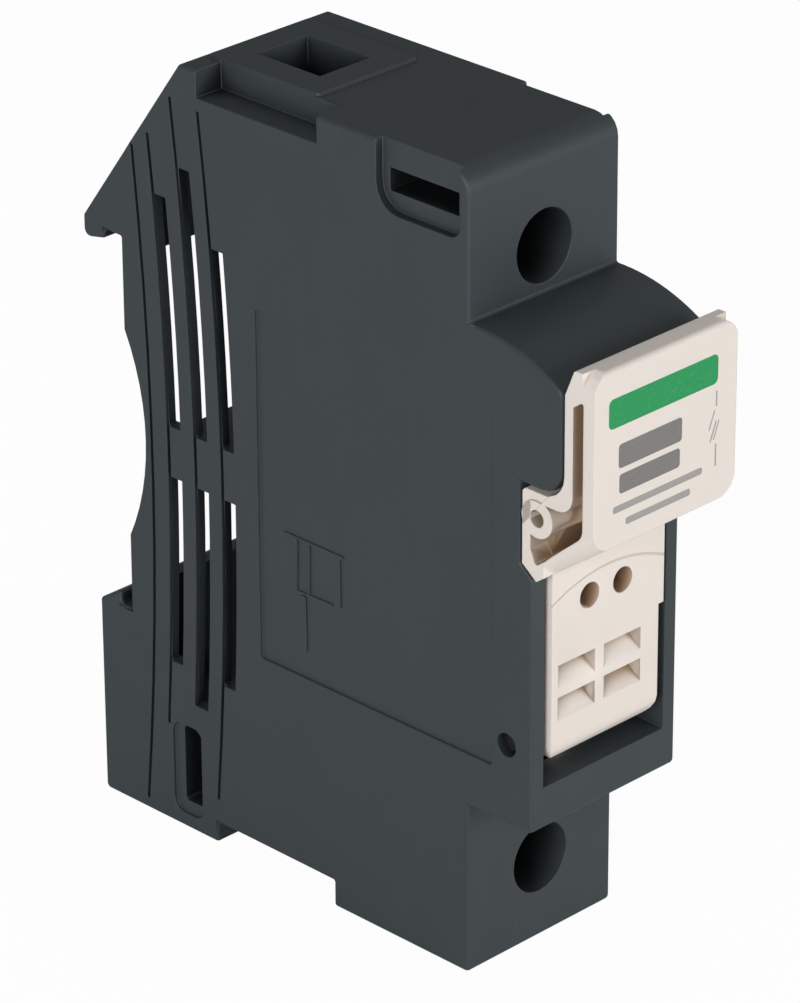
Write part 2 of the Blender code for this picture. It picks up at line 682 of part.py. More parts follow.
def side_details():
    """Marking frame, grip pockets and corner notch, cut into the side faces."""
    tools = []
    frame = rectangle(-FRAME_FRONT, -FRAME_BACK, FRAME_BOTTOM, FRAME_TOP, SMALL_ROUND)
    tools.append(side_slab("marking_frame", frame, -HALF_WIDTH - PAST, -HALF_WIDTH + FRAME_DEPTH, True))
    grip = rounded(
        [
            (-GRIP_BACK, TOP + PAST, 0),
            (-GRIP_BACK, GRIP_BOTTOM, 2.4 * MM),
            (-GRIP_FRONT, GRIP_BOTTOM, 1.2 * MM),
            (-GRIP_FRONT, GRIP_BOTTOM + 2 * GRIP_SLOT_HEIGHT, SMALL_ROUND),
            (-GRIP_FRONT + 0.4 * MM, TOP + PAST, 0),
        ]
    )
    slot_low = GRIP_BOTTOM + 0.8 * GRIP_SLOT_HEIGHT
    slot = rectangle(-GRIP_FRONT + 0.9 * MM, -GRIP_BACK - 0.8 * MM, slot_low, slot_low + GRIP_SLOT_HEIGHT)
    for side in (-1, 1):
        edge = side * HALF_WIDTH
        reach = sorted((edge - side * GRIP_DEPTH, edge + side * PAST))
        tools.append(side_slab(f"grip_{side}", grip, *reach, True))
        reach = sorted((edge - side * (GRIP_DEPTH + GRIP_SLOT_DEPTH), edge + side * PAST))
        tools.append(side_slab(f"grip_slot_{side}", slot, *reach, True))
    low = (-HALF_WIDTH - PAST, -CORNER_NOTCH_FRONT, CORNER_NOTCH_FLOOR)
    high = (-HALF_WIDTH + CORNER_NOTCH_WIDTH, -CORNER_NOTCH_BACK, TOP + PAST)
    tools.append(box("corner_notch", low, high, True))
    return tools


def make_case(plastic):
    case = side_slab("case", housing_outline(), -HALF_WIDTH, HALF_WIDTH)
    round_edges(case, EDGE_ROUND)
    rim_half = HALF_WIDTH - CORNER_NOTCH_WIDTH
    rim_back = -ROOF_BACK - 2 * ENTRY_RIM_HEIGHT
    rim = rectangle(-rim_half, rim_half, -ENTRY_FRONT - ENTRY_RIM, rim_back, SMALL_ROUND)
    collar = slab("entry_rim", [rim], TOP_PLANE, TOP - SIDE_WALL, TOP + ENTRY_RIM_HEIGHT, True)
    join(case, collar)
    cut(case, *inner_cutters())
    recess = side_slab("cover_recess", cover_outline(0), INNER_HALF - GAP, HALF_WIDTH + PAST, True)
    cut(case, recess, *latch_cutters(), *side_details())
    bore = PIN_RADIUS + PIN_PLAY
    reach = HALF_WIDTH + PAST
    cut(case, rod("pin_holes", "X", (-PIVOT_DEPTH, PIVOT_HEIGHT), bore, -reach, reach, True))
    case.data.materials.append(plastic)
    return case


def make_cover(plastic):
    cover = side_slab("side_cover", cover_outline(GAP / 2), INNER_HALF, HALF_WIDTH)
    grip_tools = [obj for obj in CUTTERS.objects if obj.name in ("grip_1", "grip_slot_1")]
    cut(cover, *grip_tools)
    cover.data.materials.append(plastic)
    return cover


# Drawer with the fuse link


def head_outline():
    """Lever head as (y, z), which follows the notch of the housing at a gap."""
    foot_run = (PANEL_FRONT - DRAWER_FRONT) / 6.4
    return rounded(
        [
            (-NOTCH_BACK - GAP, NOTCH_FOOT + 0.2 * MM, 0),
            (-NOTCH_BACK - GAP, NOTCH_TOP - GAP, SMALL_ROUND),
            (-LIP_FRONT - GAP, NOTCH_TOP - GAP, 2.3 * MM),
            (-LIP_FRONT - GAP, LIP_TOP, SOFT_ROUND),
            (-LIP_FRONT - GAP - 1.0 * MM, PANEL_TOP, SMALL_ROUND),
            (-PANEL_FRONT, PANEL_TOP, SOFT_ROUND),
            (-PANEL_FRONT, PANEL_FOOT, 0.8 * foot_run * MM),
            (-DRAWER_FRONT - CLEAR, BODY_SHOULDER + CLEAR, 0),
        ]
    )


def head_pocket():
    """Hollow of the lever head, open at the side, with the wall thicknesses of the moulding."""
    back = -NOTCH_BACK - GAP - HEAD_WALL
    inside_front = -PANEL_FRONT + PANEL_THICKNESS
    inside_back = -LIP_FRONT - GAP - HEAD_WALL
    slope = foot_slope()
    floor_back = BODY_SHOULDER + 1.6 * HEAD_WALL
    run = -DRAWER_FRONT + HEAD_WALL - inside_front
    return rounded(
        [
            (inside_back, PANEL_TOP - 3.2 * MM, 0.2 * MM),
            (inside_front, PANEL_TOP - 2.4 * MM, 0.2 * MM),
            (inside_front, floor_back + slope * run, 1.4 * MM),
            (back - 0.6 * MM, floor_back, SMALL_ROUND),
            (back, floor_back + 1.4 * MM, 0.2 * MM),
            (back, NOTCH_TOP - GAP - HEAD_WALL, 0.2 * MM),
            (inside_back, NOTCH_TOP - GAP - HEAD_WALL, 1.6 * MM),
        ]
    )


def foot_slope():
    """Fall of the lever's sloping foot for each unit of depth behind the panel."""
    return (PANEL_FOOT - BODY_SHOULDER) / (PANEL_FRONT - DRAWER_FRONT)


def corner_trims():
    """Tools that round the panel's corners; the lower one leans so that it follows the foot."""
    near, far = -HALF_WIDTH - OFF_FACE, HEAD_FAR + OFF_FACE
    tools = []
    for label, edge, side, radius, start in (
        ("top", PANEL_TOP + OFF_FACE, 1, PANEL_CORNER_TOP, PANEL_FRONT - PANEL_THICKNESS - CLEAR),
        ("foot", PANEL_FOOT - OFF_FACE, -1, PANEL_CORNER_BOTTOM, DRAWER_FRONT + HEAD_WALL),
    ):
        inner = edge - side * (radius + PAST)
        outer = edge + side * 2 * PAST
        around = rounded(
            [
                (-MODULE_WIDTH, inner, 0),
                (near, inner, 0),
                (near, edge, radius),
                (far, edge, radius),
                (far, inner, 0),
                (MODULE_WIDTH, inner, 0),
                (MODULE_WIDTH, outer, 0),
                (-MODULE_WIDTH, outer, 0),
            ]
        )
        tools.append(front_slab(f"panel_corners_{label}", [around], start, PANEL_FRONT + PAST, True))
    slope = foot_slope()
    lean = Matrix(((1, 0, 0, 0), (0, 1, 0, 0), (0, -slope, 1, -slope * PANEL_FRONT), (0, 0, 0, 1)))
    tools[1].data.transform(lean)
    return tools


def above_rib(side):
    """What lies above a slanted line that touches the boss on its upper (1) or lower (-1) side."""
    touch = BOSS_HEIGHT + side * BOSS_RADIUS * math.hypot(1, RIB_SLOPE)
    back, front = -BOSS_DEPTH + 2 * BOSS_RADIUS, -PANEL_FRONT - PAST
    ends = [(y, touch - RIB_SLOPE * (y + BOSS_DEPTH)) for y in (back, front)]
    return [*ends, (front, PANEL_TOP + PAST), (back, PANEL_TOP + PAST)]


def carrier_outline():
    """Carrier behind the lever as (y, z): lug at the pivot, cheeks round the tube, ledge over the cap."""
    lug_back = -PIVOT_DEPTH + LUG_RADIUS
    spine_back = -FUSE_DEPTH - FUSE_RADIUS + 0.9 * MM
    stop = FUSE_TOP + GAP
    return rounded(
        [
            (-DRAWER_FRONT, DRAWER_BOTTOM, DRAWER_ROUND),
            (lug_back, DRAWER_BOTTOM, 1.5 * MM),
            (lug_back, PIVOT_HEIGHT + 2.7 * MM, SOFT_ROUND),
            (-FUSE_DEPTH + CHEEK_WRAP, CHEEK_BOTTOM, SOFT_ROUND),
            (-FUSE_DEPTH + CHEEK_WRAP, CHEEK_TOP, SOFT_ROUND),
            (spine_back, CHEEK_TOP + CHEEK_SLOPE, SOFT_ROUND),
            (spine_back, stop, 0),
            (-FUSE_DEPTH - 0.6 * FUSE_RADIUS, stop, 0),
            (-FUSE_DEPTH - 0.6 * FUSE_RADIUS, stop + LEDGE, SMALL_ROUND),
            (-LIP_FRONT - 0.6 * MM, stop + LEDGE, SMALL_ROUND),
            (-LIP_FRONT - 0.6 * MM, NOTCH_TOP, 0),
            (-DRAWER_FRONT, BODY_SHOULDER + 2.0 * MM, 0),
        ]
    )


def carrier_pocket():
    """Hollow behind the lever head as (y, z), which keeps the walls of the carrier thin."""
    front = -LIP_FRONT + CARRIER_NOSE
    middle = -DRAWER_FRONT + HEAD_WALL + CARRIER_NOSE
    back = middle + CARRIER_NOSE
    roof = LIP_TOP - 2 * HEAD_WALL
    return rounded(
        [
            (front, roof, SMALL_ROUND),
            (front, NOTCH_TOP + HEAD_WALL, SMALL_ROUND),
            (middle, CHEEK_TOP + 2 * HEAD_WALL, SMALL_ROUND),
            (back, CHEEK_TOP + 2 * HEAD_WALL, SMALL_ROUND),
            (back, roof, SMALL_ROUND),
        ]
    )


def make_drawer(plastic):
    drawer = side_slab("drawer", head_outline(), -HALF_WIDTH, HEAD_FAR)
    cut(drawer, *corner_trims())
    round_edges(drawer, EDGE_ROUND)
    wide = HALF_WIDTH + PAST
    wider = wide + PAST
    boss = rod("head_boss", "X", (-BOSS_DEPTH, BOSS_HEIGHT), BOSS_RADIUS, -wider, wider, True)
    for side in (-1, 1):
        reach = sorted((side * HEAD_WEB / 2, side * wide))
        pocket = side_slab(f"head_pocket_{side}", head_pocket(), *reach, True)
        cut(pocket, boss)
        for edge, depth in ((-1, POCKET_RECESS), (1, POCKET_CHANNEL)):
            reach = sorted((side * CLEAR, side * (HALF_WIDTH - depth)))
            cut(pocket, side_slab(f"head_floor_{edge}_{side}", above_rib(edge), *reach, True))
        cut(drawer, pocket)
    carrier = side_slab("carrier", carrier_outline(), -DRAWER_HALF, DRAWER_HALF, True)
    join(drawer, carrier)
    bores = []
    for side in (-1, 1):
        reach = sorted((side * HEAD_WEB / 2, side * wide))
        bores.append(side_slab(f"carrier_pocket_{side}", carrier_pocket(), *reach, True))
        inner_end = HALF_WIDTH - PIN_RECESS - PIN_LENGTH - GAP
        reach = sorted((side * inner_end, side * wide))
        axis = (-PIVOT_DEPTH, PIVOT_HEIGHT)
        bores.append(rod(f"pivot_bore_{side}", "X", axis, PIN_RADIUS + PIN_PLAY, *reach, True))
    axis = (-BOSS_DEPTH, BOSS_HEIGHT)
    bores.append(rod("boss_bore", "X", axis, BOSS_BORE, -wide, wide, True, ROUND_STEPS // 2))
    low, high = FUSE_BOTTOM - PAST, FUSE_TOP + GAP
    radius = FUSE_RADIUS + GAP
    bores.append(rod("fuse_channel", "Z", (0, -FUSE_DEPTH), radius, low, high, True, 2 * ROUND_STEPS))
    cut(drawer, *bores, *front_details())
    drawer.data.materials.append(plastic)
    return drawer


def vent_outline(row):
    """One louvre as (y, z): its floor rises inwards from the front face, its roof is level."""
    high = VENT_TOP - row * VENT_PITCH
    low = high - VENT_HEIGHT
    inside = -DRAWER_FRONT + VENT_DEPTH
    outside = -DRAWER_FRONT - PAST
    slope = 0.6 * VENT_HEIGHT / VENT_DEPTH
    return [
        (outside, high),
        (outside, low - slope * PAST),
        (-DRAWER_FRONT, low),
        (inside, low + slope * VENT_DEPTH),
        (inside, high),
    ]


def front_details():
    """Step, rounded foot, test holes and vents in the front of the drawer."""
    past = DRAWER_FRONT + PAST
    half = DRAWER_HALF
    wide = HALF_WIDTH + PAST
    low = DRAWER_BOTTOM - OFF_FACE
    foot = rounded(
        [
            (-wide, STEP_HEIGHT, 0),
            (-wide, low - PAST, 0),
            (wide, low - PAST, 0),
            (wide, STEP_HEIGHT, 0),
            (half - STEP_INSET, STEP_HEIGHT, 0),
            (half - STEP_INSET, low, DRAWER_ROUND),
            (-half - OFF_FACE, low, DRAWER_ROUND),
            (-half - OFF_FACE, STEP_HEIGHT, 0),
        ]
    )
    foot_back = PIVOT_DEPTH - LUG_RADIUS - PAST
    tools = [front_slab("foot_round", [foot], foot_back, past, True)]
    hole_bottom = -DRAWER_FRONT + TEST_HOLE_DEPTH
    for side in (-1, 1):
        place = (TEST_HOLE_CENTRE + side * TEST_HOLE_SPACING / 2, TEST_HOLE_HEIGHT)
        tools.append(rod(f"test_hole_{side}", "Y", place, TEST_HOLE_RADIUS, -past, hole_bottom, True))
        inner = VENT_CENTRE + side * VENT_WEB / 2
        left, right = sorted((inner, inner + side * VENT_WIDTH))
        for row in (0, 1):
            tools.append(side_slab(f"vent_{side}_{row}", vent_outline(row), left, right, True))
    return tools


def make_pins(metal):
    for side, name in ((-1, "hinge_pin_near"), (1, "hinge_pin_far")):
        outer = HALF_WIDTH - PIN_RECESS
        chamfer = 0.2 * MM
        profile = [
            (0, PIN_LENGTH / 2),
            (PIN_RADIUS - chamfer, PIN_LENGTH / 2),
            (PIN_RADIUS, PIN_LENGTH / 2 - chamfer),
            (PIN_RADIUS, -PIN_LENGTH / 2 + chamfer),
            (PIN_RADIUS - chamfer, -PIN_LENGTH / 2),
            (0, -PIN_LENGTH / 2),
        ]
        place = (side * (outer - PIN_LENGTH / 2), -PIVOT_DEPTH, PIVOT_HEIGHT)
        pin = turned(name, profile, "X", place)
        pin.data.materials.append(metal)


def make_fuse(ceramic, metal):
    tube_radius = FUSE_RADIUS - CAP_WALL - CAP_PLAY
    tube_half = FUSE_LENGTH / 2 - CAP_WALL - CAP_PLAY
    profile = [(0, tube_half), (tube_radius, tube_half), (tube_radius, -tube_half), (0, -tube_half)]
    tube = turned("fuse_tube", profile, "Z", (0, -FUSE_DEPTH, FUSE_MIDDLE))
    tube.data.materials.append(ceramic)
    inner = FUSE_RADIUS - CAP_WALL
    edge = 0.5 * MM
    end = FUSE_LENGTH / 2
    cup = [
        (0, end),
        (FUSE_RADIUS - edge, end),
        (FUSE_RADIUS - 0.3 * edge, end - 0.3 * edge),
        (FUSE_RADIUS, end - edge),
        (FUSE_RADIUS, end - CAP_LENGTH),
        (inner, end - CAP_LENGTH),
        (inner, end - CAP_WALL),
        (0, end - CAP_WALL),
    ]
    for name, side in (("fuse_cap_top", 1), ("fuse_cap_bottom", -1)):
        cap = turned(name, cup, "Z", (0, -FUSE_DEPTH, FUSE_MIDDLE))
        if side < 0:
            cap.rotation_euler = (math.pi, 0, 0)
        cap.data.materials.append(metal)


# Contacts and terminals


def make_contact(side, label, silver, steel, copper):
    """One fuse clip with its spring, the bar to the terminal and the rivet that joins them."""
    middle = FUSE_MIDDLE + side * CAP_MIDDLE
    low, high = middle - CLIP_HEIGHT / 2, middle + CLIP_HEIGHT / 2
    jaw = FUSE_RADIUS + CLIP_PLAY + CLIP_THICKNESS / 2
    web = -CLIP_WEB_DEPTH + CLIP_THICKNESS / 2
    tip = -FUSE_DEPTH - CLIP_TIP
    route = [
        (-jaw - CLIP_FLARE, tip - 0.8 * MM, 0),
        (-jaw, tip, 0),
        (-jaw, web, 0.8 * MM),
        (jaw, web, 0.8 * MM),
        (jaw, tip, 0),
        (jaw + CLIP_FLARE, tip - 0.8 * MM, 0),
    ]
    clip = slab(f"{label}_clip", [ribbon(bent(route), CLIP_THICKNESS)], TOP_PLANE, low, high)
    level = bar_level(side)
    leg = -CLIP_WEB_DEPTH + CLIP_THICKNESS + GAP + BAR_THICKNESS / 2
    screw_z = screw_height(side)
    upright = -BAR_BACK - BAR_THICKNESS / 2
    bar_route = [
        (leg, middle - side * CLIP_HEIGHT / 2, 0),
        (leg, level, BAR_BEND),
        (upright, level, BAR_BEND),
        (upright, screw_z + side * CAGE_HEIGHT / 2, 0),
    ]
    bar = side_slab(f"{label}_bar", ribbon(bent(bar_route), BAR_THICKNESS), -BAR_WIDTH / 2, BAR_WIDTH / 2)
    rivet_z = middle - side * (CLIP_HEIGHT / 2 - RIVET_HEAD - GAP)
    bore = RIVET_RADIUS + GAP / 2
    hole = rod(f"{label}_rivet_hole", "Y", (0, rivet_z), bore, -CLIP_WEB_DEPTH - PAST, leg + PAST, True)
    cut(clip, hole)
    cut(bar, hole)
    front = -CLIP_WEB_DEPTH - GAP / 2
    back = leg + BAR_THICKNESS / 2 + GAP / 2
    half = (back - front) / 2
    profile = [
        (0, half + RIVET_HEAD_HEIGHT),
        (0.6 * RIVET_HEAD, half + RIVET_HEAD_HEIGHT),
        (RIVET_HEAD, half + 0.4 * RIVET_HEAD_HEIGHT),
        (RIVET_HEAD, half),
        (RIVET_RADIUS, half),
        (RIVET_RADIUS, -half),
        (RIVET_HEAD, -half),
        (RIVET_HEAD, -half - 0.4 * RIVET_HEAD_HEIGHT),
        (0.6 * RIVET_HEAD, -half - RIVET_HEAD_HEIGHT),
        (0, -half - RIVET_HEAD_HEIGHT),
    ]
    rivet = turned(f"{label}_clip_rivet", profile, "Y", (0, (front + back) / 2, rivet_z), ROUND_STEPS // 2)
    reach = jaw + CLIP_THICKNESS / 2 + SPRING_GAP + SPRING_THICKNESS / 2
    spring_web = leg + BAR_THICKNESS / 2 + GAP + SPRING_THICKNESS / 2
    spring_route = [
        (-reach, tip + 0.6 * MM, 0),
        (-reach, spring_web, 1.0 * MM),
        (reach, spring_web, 1.0 * MM),
        (reach, tip + 0.6 * MM, 0),
    ]
    spring_z = sorted((middle + side * 0.4 * MM, middle + side * (0.4 * MM + SPRING_HEIGHT)))
    spring_outline = ribbon(bent(spring_route), SPRING_THICKNESS)
    spring = slab(f"{label}_clip_spring", [spring_outline], TOP_PLANE, *spring_z)
    for obj, surface in ((clip, silver), (bar, copper), (rivet, copper), (spring, steel)):
        obj.data.materials.append(surface)


def make_terminal(side, label, steel):
    """One tunnel clamp: the cage that pulls the wire against the bar, and its captive screw."""
    middle = screw_height(side)
    front, back = -CAGE_FRONT, -CAGE_BACK
    inner_front = front + CAGE_THREAD_WALL
    outer = rectangle(-CAGE_HALF, CAGE_HALF, front, back, CAGE_ROUND)
    inner = rectangle(-CAGE_INNER_HALF, CAGE_INNER_HALF, inner_front, back - CAGE_WALL, SMALL_ROUND)
    low, high = middle - CAGE_HEIGHT / 2, middle + CAGE_HEIGHT / 2
    cage = slab(f"{label}_cage", [outer, inner], TOP_PLANE, low, high)
    radius = SCREW_RADIUS + SCREW_PLAY
    cut(cage, rod(f"{label}_thread", "Y", (0, middle), radius, front - PAST, inner_front + GAP, True))
    length = HEAD_FRONT - SCREW_TIP
    neck = length - SCREW_HEAD_HEIGHT
    edge = 0.3 * MM
    profile = [
        (0, length),
        (SCREW_HEAD_RADIUS - edge, length),
        (SCREW_HEAD_RADIUS, length - edge),
        (SCREW_HEAD_RADIUS, neck),
        (SCREW_RADIUS, neck),
        (SCREW_RADIUS, 2 * edge),
        (SCREW_RADIUS - 2 * edge, 0),
        (0, 0),
    ]
    screw = turned(f"{label}_screw", profile, "Y", (0, -SCREW_TIP, middle))
    reach = SCREW_HEAD_RADIUS + PAST
    depth = -HEAD_FRONT + SCREW_SLOT_DEPTH
    half = SCREW_SLOT / 2
    outside = -HEAD_FRONT - PAST
    flat = box(f"{label}_slot", (-reach, outside, middle - half), (reach, depth, middle + half), True)
    arm = SCREW_CROSS / 2
    cross = box(f"{label}_cross", (-half, outside, middle - arm), (half, depth, middle + arm), True)
    cut(screw, flat, cross)
    for obj in (cage, screw):
        obj.data.materials.append(steel)


def shade_round(angle_degrees=30):
    for obj in PARTS.objects:
        obj.data.shade_smooth()
        obj.data.set_sharp_from_angle(angle=math.radians(angle_degrees))


def main():
    dark_plastic = material("dark_plastic", (0.055, 0.065, 0.072), 0.45)
    ivory_plastic = material("ivory_plastic", (0.80, 0.74, 0.68), 0.42)
    nickel = material("nickel_plate", (0.72, 0.70, 0.66), 0.28, 1.0)
    silver = material("silver_plate", (0.80, 0.79, 0.76), 0.25, 1.0)
    copper = material("copper", (0.78, 0.46, 0.32), 0.35, 1.0)
    zinc = material("zinc_steel", (0.62, 0.63, 0.64), 0.38, 1.0)
    spring_steel = material("spring_steel", (0.45, 0.46, 0.48), 0.30, 1.0)
    pin_steel = material("dark_pin_steel", (0.10, 0.10, 0.11), 0.45, 1.0)
    ceramic = material("ceramic", (0.85, 0.84, 0.80), 0.35)
    make_case(dark_plastic)
    make_cover(dark_plastic)
    make_drawer(ivory_plastic)
    make_pins(pin_steel)
    make_fuse(ceramic, nickel)
    for side, label in ((1, "upper"), (-1, "lower")):
        make_contact(side, label, silver, spring_steel, copper)
        make_terminal(side, label, zinc)
    shade_round()


main()
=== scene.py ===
# Fuse holder for a 35 mm rail: looks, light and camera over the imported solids.
# Metres, +Z up, the front of the holder looks along -Y.
import math

import bmesh
import bpy
from mathutils import Matrix, Vector


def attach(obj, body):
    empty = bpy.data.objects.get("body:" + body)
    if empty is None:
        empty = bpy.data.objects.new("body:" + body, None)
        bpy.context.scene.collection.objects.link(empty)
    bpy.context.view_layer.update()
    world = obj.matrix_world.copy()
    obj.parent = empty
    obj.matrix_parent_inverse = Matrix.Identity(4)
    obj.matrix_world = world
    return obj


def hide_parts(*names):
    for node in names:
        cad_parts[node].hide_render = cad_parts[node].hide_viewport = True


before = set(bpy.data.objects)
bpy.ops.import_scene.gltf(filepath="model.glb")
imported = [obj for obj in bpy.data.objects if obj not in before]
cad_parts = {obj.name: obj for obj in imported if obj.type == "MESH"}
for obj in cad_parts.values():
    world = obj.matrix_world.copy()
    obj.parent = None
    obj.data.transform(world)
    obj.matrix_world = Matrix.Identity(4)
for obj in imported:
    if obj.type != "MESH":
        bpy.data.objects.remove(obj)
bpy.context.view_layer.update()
mm = 0.001
print("frame loaded,", len(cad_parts), "solids")


# Shader maths: a wire is the output of a node, and sums of wires add Math nodes
class Wire:
    def __init__(self, nodes, socket):
        self.nodes = nodes
        self.socket = socket

    def maths(self, operation, *others, turned=False):
        inputs = [self, *others]
        if turned:
            inputs.reverse()
        return self.nodes.add("ShaderNodeMath", {"operation": operation}, dict(enumerate(inputs)))

    def __add__(self, other):
        return self.maths("ADD", other)

    def __radd__(self, other):
        return self.maths("ADD", other, turned=True)

    def __sub__(self, other):
        return self.maths("SUBTRACT", other)

    def __rsub__(self, other):
        return self.maths("SUBTRACT", other, turned=True)

    def __mul__(self, other):
        return self.maths("MULTIPLY", other)

    def __rmul__(self, other):
        return self.maths("MULTIPLY", other, turned=True)

    def __truediv__(self, other):
        return self.maths("DIVIDE", other)

    def __pow__(self, other):
        return self.maths("POWER", other)

    def size(self):
        return self.maths("ABSOLUTE")

    def least(self, other):
        return self.maths("MINIMUM", other)

    def most(self, other):
        return self.maths("MAXIMUM", other)

    def sine(self):
        return self.maths("SINE")

    def ramp(self, low, high):  # 0 below low, 1 above high
        values = {"Value": self, "From Min": low, "From Max": high}
        return self.nodes.add("ShaderNodeMapRange", {"interpolation_type": "SMOOTHSTEP"}, values)


class Nodes:
    def __init__(self, tree):
        self.tree = tree

    def feed(self, socket, value):
        if isinstance(value, Wire):
            self.tree.links.new(value.socket, socket)
        else:
            socket.default_value = value

    # any node: its type, its settings first, then the values or links of its sockets
    def add(self, kind, settings, values, output=0):
        node = self.tree.nodes.new(kind)
        for key, value in settings.items():
            setattr(node, key, value)
        for key, value in values.items():
            self.feed(node.inputs[key], value)
        return Wire(self, node.outputs[output])


class Surface(Nodes):
    def __init__(self, name):
        self.material = bpy.data.materials.new(name)
        self.material.use_nodes = True
        super().__init__(self.material.node_tree)
        self.shader = self.tree.nodes["Principled BSDF"]
        self.place = self.add("ShaderNodeTexCoord", {}, {}, "Object")
        self.x, self.y, self.z = (
            self.add("ShaderNodeSeparateXYZ", {}, {0: self.place}, axis) for axis in "XYZ"
        )

    def noise(self, sizeMm, detail, roughness, stretch=None):
        place = self.place
        if stretch:
            place = self.add("ShaderNodeMapping", {}, {"Vector": place, "Scale": stretch})
        values = {"Vector": place, "Scale": 1 / (sizeMm * mm), "Detail": detail, "Roughness": roughness}
        return self.add("ShaderNodeTexNoise", {}, values)

    def mix(self, factor, first, second):
        return self.add("ShaderNodeMix", {"data_type": "RGBA"}, {0: factor, 6: first, 7: second}, 2)

    def softEdge(self, radiusMm):  # normals turned a little towards each edge
        return self.add("ShaderNodeBevel", {"samples": 6}, {"Radius": radiusMm * mm})

    def paintedShadeAmount(self, reachMm):  # painted shade from ambient occlusion: 0 in the open, towards 1 far into a recess of the same piece
        settings = {"samples": 8, "only_local": True}
        return 1 - self.add("ShaderNodeAmbientOcclusion", settings, {"Distance": reachMm * mm}, "AO")

    def bump(self, height, distanceMm, strength, under=None):
        values = {"Height": height, "Distance": distanceMm * mm, "Strength": strength}
        if under:
            values["Normal"] = under
        return self.add("ShaderNodeBump", {}, values)

    def finish(self, **sockets):
        for name, value in sockets.items():
            self.feed(self.shader.inputs[name.replace("_", " ")], value)
        return self.material


def shade(colour, factor=1.0):
    return tuple(channel * factor for channel in colour) + (1.0,)


housingFinish = {
    "colour": (0.040, 0.050, 0.055),
    "tones": (0.86, 1.22),
    # painted shade in bores, slits and the drawer gap: its tone, strength, reach and range
    "hollowTone": 0.10,
    "hollowMost": 0.95,
    "paintedShadeReachMm": 7.0,
    "paintedShadeRange": (0.32, 0.72),
    "roughness": 0.40,
    "gloss": 0.35,
    "cloudMm": 9.0,
    "grainMm": 0.14,
    "grainDepthMm": 0.012,
    "flowMm": 2.2,
    "flowStretch": (1.0, 1.0, 0.22),
    "flowDepthMm": 0.02,
    "scuffMm": 0.9,
    "scuffStretch": (1.0, 4.0, 0.35),
    "scuffRange": (0.66, 0.78),
}


def housingPlastic():
    values = housingFinish
    made = Surface("housingPlastic")
    grain = made.noise(values["grainMm"], 3.0, 0.6)
    cloud = made.noise(values["cloudMm"], 4.0, 0.55)
    flow = made.noise(values["flowMm"], 3.0, 0.6, values["flowStretch"])
    scuff = made.noise(values["scuffMm"], 2.0, 0.5, values["scuffStretch"])
    scuff = scuff.ramp(*values["scuffRange"]) * 0.25
    lightness = cloud * 0.5 + flow * 0.25 + scuff
    darker, lighter = (shade(values["colour"], tone) for tone in values["tones"])
    colour = made.mix(lightness, darker, lighter)
    # painted shade: bores, slits and the gap round the drawer are painted nearly black, darker further
    # in
    paintedShadeDeep = made.paintedShadeAmount(values["paintedShadeReachMm"]).ramp(*values["paintedShadeRange"])
    hollow = shade(values["colour"], values["hollowTone"])
    colour = made.mix(paintedShadeDeep * values["hollowMost"], colour, hollow)
    roughness = values["roughness"] + cloud * 0.08 + grain * 0.06 - scuff * 0.25
    normal = made.bump(grain, values["grainDepthMm"], 0.55)
    normal = made.bump(flow, values["flowDepthMm"], 0.25, normal)
    return made.finish(
        Base_Color=colour, Roughness=roughness, Normal=normal, Specular_IOR_Level=values["gloss"]
    )


drawerFinish = {
    "colour": (0.80, 0.735, 0.68),
    "warm": (0.74, 0.655, 0.575),
    # painted shade in pockets, vents and holes: its colour, strength, reach and range
    "hollow": (0.30, 0.185, 0.095),
    "hollowMost": 0.92,
    "paintedShadeReachMm": 3.5,
    "paintedShadeRange": (0.20, 0.72),
    "roughness": 0.36,
    "gloss": 0.45,
    "scatter": 0.08,
    "scatterMm": 1.0,
    "cloudMm": 6.0,
    "grainMm": 0.35,
    "grainDepthMm": 0.008,
    "edgeMm": 0.14,
    "arcTopMm": 0.6,
    "arcDropMm": 1.4,
    "arcHalfMm": 6.4,
    "arcFrontMm": (-48.2, -48.5),
    "arcLineMm": (0.03, 0.16),
    "arcDepthMm": 0.08,
}


def drawerPlastic():
    values = drawerFinish
    made = Surface("drawerPlastic")
    cloud = made.noise(values["cloudMm"], 3.0, 0.5)
    grain = made.noise(values["grainMm"], 3.0, 0.55)
    hollow = shade(values["hollow"])
    colour = made.mix(cloud * 0.30, shade(values["colour"]), shade(values["warm"]))
    # painted shade: the pockets, vents and holes of the ivory plastic are painted brown, standing for
    # the warm shade where light sinks into them
    paintedShadeInside = made.paintedShadeAmount(values["paintedShadeReachMm"]).ramp(*values["paintedShadeRange"])
    colour = made.mix(paintedShadeInside * values["hollowMost"], colour, hollow)
    # fine arched witness line above the test holes: a shallow groove in the bump, and painted shade
    # darkening it
    across = made.x / (values["arcHalfMm"] * mm)
    arc = values["arcTopMm"] * mm - across * across * (values["arcDropMm"] * mm)
    onFront = made.y.ramp(*(edge * mm for edge in values["arcFrontMm"]))
    off = (made.z - arc).size().ramp(*(edge * mm for edge in values["arcLineMm"]))
    line = (1 - off) * onFront
    # painted shade along the groove of the witness line
    colour = made.mix(line * 0.30, colour, hollow)
    roughness = values["roughness"] + cloud * 0.06 + grain * 0.05
    normal = made.bump(grain, values["grainDepthMm"], 0.35, made.softEdge(values["edgeMm"]))
    normal = made.bump(1 - line, values["arcDepthMm"], 0.8, normal)
    return made.finish(
        Base_Color=colour,
        Roughness=roughness,
        Normal=normal,
        Subsurface_Weight=values["scatter"],
        Subsurface_Scale=values["scatterMm"] * mm,
        Specular_IOR_Level=values["gloss"],
    )


